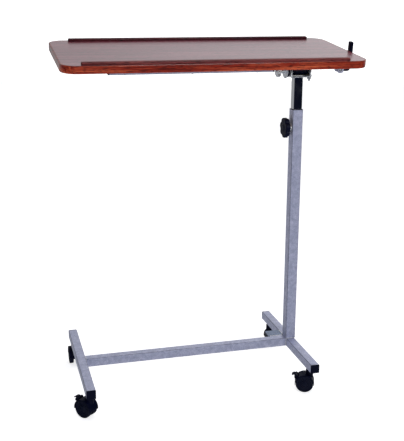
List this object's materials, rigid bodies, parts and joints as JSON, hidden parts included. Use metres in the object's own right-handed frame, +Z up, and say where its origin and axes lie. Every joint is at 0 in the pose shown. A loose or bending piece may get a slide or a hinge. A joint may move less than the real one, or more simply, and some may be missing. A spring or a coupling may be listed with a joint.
{
  "type": "overbed table",
  "caption": "Overbed table: tilting wooden top with book-stop rails on a telescoping mast at one end, over a wheeled H-shaped steel base.",
  "frame": {"origin": "on the floor, under the middle of the whole table's outline", "axes": "+Z up; +X along the top's length, from its free end to the mast; +Y across the depth, towards the raised back edge"},
  "size_m": [0.813, 0.4203, 0.9663],
  "materials": {
    "grey_painted_steel": "semi-gloss lavender-grey powder coat",
    "zinc_plated_steel": "bright zinc, fine machining marks",
    "chromed_steel": "polished chrome plate",
    "black_painted_steel": "satin black paint",
    "black_plastic": "fine-grained black moulding",
    "wheel_plastic": "black nylon, worn tread",
    "rubber_pad": "matt black rubber",
    "chipboard": "pressed wood chips, unfinished",
    "glossy_laminate": "glossy wood-print laminate",
    "mahogany_stained_wood": "red-brown stain under satin lacquer, fine grain"
  },
  "bodies": {
    "base": {"left_foot": "grey_painted_steel", "right_foot": "grey_painted_steel", "base_bar": "grey_painted_steel", "corner_gusset": "zinc_plated_steel", "foot_end_caps": "black_plastic", "caster_weld_nuts": "zinc_plated_steel", "caster_stems": "zinc_plated_steel", "column_tube": "grey_painted_steel", "column_bush": "black_plastic", "lock_boss": "zinc_plated_steel"},
    "knob": {"height_knob": "black_plastic", "knob_stud": "zinc_plated_steel"},
    "mast": {"inner_tube": "chromed_steel", "inner_glide": "black_plastic", "saddle_bracket": "zinc_plated_steel", "right_ear": "zinc_plated_steel", "pivot_bolt": "zinc_plated_steel", "friction_disc": "black_plastic", "pivot_washers": "zinc_plated_steel", "tension_nut": "zinc_plated_steel", "anchor_bolt": "zinc_plated_steel", "anchor_nut": "zinc_plated_steel"},
    "top": {"top_core": "chipboard", "top_laminate": "glossy_laminate", "edge_band": "mahogany_stained_wood", "front_book_stop": "mahogany_stained_wood", "rear_book_stop": "mahogany_stained_wood", "hub_plate": "zinc_plated_steel", "tilt_hub": "black_painted_steel", "hub_screws": "zinc_plated_steel", "stiffener_screws": "zinc_plated_steel", "bracket_screws": "zinc_plated_steel", "front_stiffener": "grey_painted_steel", "rear_stiffener": "grey_painted_steel", "stiffener_end_caps": "black_plastic", "rod_guide": "zinc_plated_steel", "lever_bracket": "grey_painted_steel", "lever_pin": "zinc_plated_steel"},
    "lever": {"release_lever": "black_painted_steel", "lever_grip": "black_plastic"},
    "rod": {"release_rod": "zinc_plated_steel", "brake_pad": "rubber_pad"},
    "caster_front_left_swivel": {"caster_front_left_hood": "black_plastic", "caster_front_left_axle": "zinc_plated_steel"},
    "caster_front_left_wheel_left": {"caster_front_left_wheel_left": "wheel_plastic"},
    "caster_front_left_wheel_right": {"caster_front_left_wheel_right": "wheel_plastic"},
    "caster_front_left_pedal": {"caster_front_left_pedal": "black_plastic"},
    "caster_front_right_swivel": {"caster_front_right_hood": "black_plastic", "caster_front_right_axle": "zinc_plated_steel"},
    "caster_front_right_wheel_left": {"caster_front_right_wheel_left": "wheel_plastic"},
    "caster_front_right_wheel_right": {"caster_front_right_wheel_right": "wheel_plastic"},
    "caster_front_right_pedal": {"caster_front_right_pedal": "black_plastic"},
    "caster_rear_left_swivel": {"caster_rear_left_hood": "black_plastic", "caster_rear_left_axle": "zinc_plated_steel"},
    "caster_rear_left_wheel_left": {"caster_rear_left_wheel_left": "wheel_plastic"},
    "caster_rear_left_wheel_right": {"caster_rear_left_wheel_right": "wheel_plastic"},
    "caster_rear_right_swivel": {"caster_rear_right_hood": "black_plastic", "caster_rear_right_axle": "zinc_plated_steel"},
    "caster_rear_right_wheel_left": {"caster_rear_right_wheel_left": "wheel_plastic"},
    "caster_rear_right_wheel_right": {"caster_rear_right_wheel_right": "wheel_plastic"}
  },
  "joints": [
    {"name": "mast_height", "type": "slide", "parent": "base", "child": "mast", "axis": [0, 0, 1], "range_m": [-0.085, 0.25]},
    {"name": "top_tilt", "type": "hinge", "parent": "mast", "child": "top", "pos_m": [0.254, 0, 0.884], "axis": [1, 0, 0], "range_deg": [-46.8, 33.2]},
    {"name": "knob_turn", "type": "hinge", "parent": "base", "child": "knob", "pos_m": [0.22, 0, 0.725], "axis": [-1, 0, 0], "range_deg": [0, 360]},
    {"name": "lever_pull", "type": "hinge", "parent": "top", "child": "lever", "pos_m": [0.371, -0.01215, 0.88457], "axis": [0, 0.993, 0.1184], "range_deg": [0, 12], "stiffness_Nm_per_rad": 2, "springref_deg": -3.44},
    {"name": "rod_slide", "type": "slide", "parent": "top", "child": "rod", "axis": [1, 0, 0], "range_m": [0, 0.0029]},
    {"name": "caster_front_left_swivel", "type": "hinge", "parent": "base", "child": "caster_front_left_swivel", "pos_m": [-0.367, -0.17, 0.06], "axis": [0, 0, 1], "continuous": true},
    {"name": "caster_front_left_spin_left", "type": "hinge", "parent": "caster_front_left_swivel", "child": "caster_front_left_wheel_left", "pos_m": [-0.3757, -0.16034, 0.025], "axis": [0.7431, 0.6691, 0], "continuous": true},
    {"name": "caster_front_left_spin_right", "type": "hinge", "parent": "caster_front_left_swivel", "child": "caster_front_left_wheel_right", "pos_m": [-0.3757, -0.16034, 0.025], "axis": [0.7431, 0.6691, 0], "continuous": true},
    {"name": "caster_front_left_brake", "type": "hinge", "parent": "caster_front_left_swivel", "child": "caster_front_left_pedal", "pos_m": [-0.39111, -0.14322, 0.04574], "axis": [-0.7431, -0.6691, 0], "range_deg": [0, 12]},
    {"name": "caster_front_right_swivel", "type": "hinge", "parent": "base", "child": "caster_front_right_swivel", "pos_m": [0.254, -0.17, 0.06], "axis": [0, 0, 1], "continuous": true},
    {"name": "caster_front_right_spin_left", "type": "hinge", "parent": "caster_front_right_swivel", "child": "caster_front_right_wheel_left", "pos_m": [0.24195, -0.16513, 0.025], "axis": [0.3746, 0.9272, 0], "continuous": true},
    {"name": "caster_front_right_spin_right", "type": "hinge", "parent": "caster_front_right_swivel", "child": "caster_front_right_wheel_right", "pos_m": [0.24195, -0.16513, 0.025], "axis": [0.3746, 0.9272, 0], "continuous": true},
    {"name": "caster_front_right_brake", "type": "hinge", "parent": "caster_front_right_swivel", "child": "caster_front_right_pedal", "pos_m": [0.22059, -0.1565, 0.04574], "axis": [-0.3746, -0.9272, 0], "range_deg": [0, 12]},
    {"name": "caster_rear_left_swivel", "type": "hinge", "parent": "base", "child": "caster_rear_left_swivel", "pos_m": [-0.367, 0.17, 0.06], "axis": [0, 0, 1], "continuous": true},
    {"name": "caster_rear_left_spin_left", "type": "hinge", "parent": "caster_rear_left_swivel", "child": "caster_rear_left_wheel_left", "pos_m": [-0.367, 0.183, 0.025], "axis": [1, 0, 0], "continuous": true},
    {"name": "caster_rear_left_spin_right", "type": "hinge", "parent": "caster_rear_left_swivel", "child": "caster_rear_left_wheel_right", "pos_m": [-0.367, 0.183, 0.025], "axis": [1, 0, 0], "continuous": true},
    {"name": "caster_rear_right_swivel", "type": "hinge", "parent": "base", "child": "caster_rear_right_swivel", "pos_m": [0.254, 0.17, 0.06], "axis": [0, 0, 1], "continuous": true},
    {"name": "caster_rear_right_spin_left", "type": "hinge", "parent": "caster_rear_right_swivel", "child": "caster_rear_right_wheel_left", "pos_m": [0.26693, 0.16864, 0.025], "axis": [-0.1045, -0.9945, 0], "continuous": true},
    {"name": "caster_rear_right_spin_right", "type": "hinge", "parent": "caster_rear_right_swivel", "child": "caster_rear_right_wheel_right", "pos_m": [0.26693, 0.16864, 0.025], "axis": [-0.1045, -0.9945, 0], "continuous": true}
  ],
  "couplings": [
    {"joint": "rod_slide", "follows": "lever_pull", "m_per_rad": 0.0134}
  ]
}
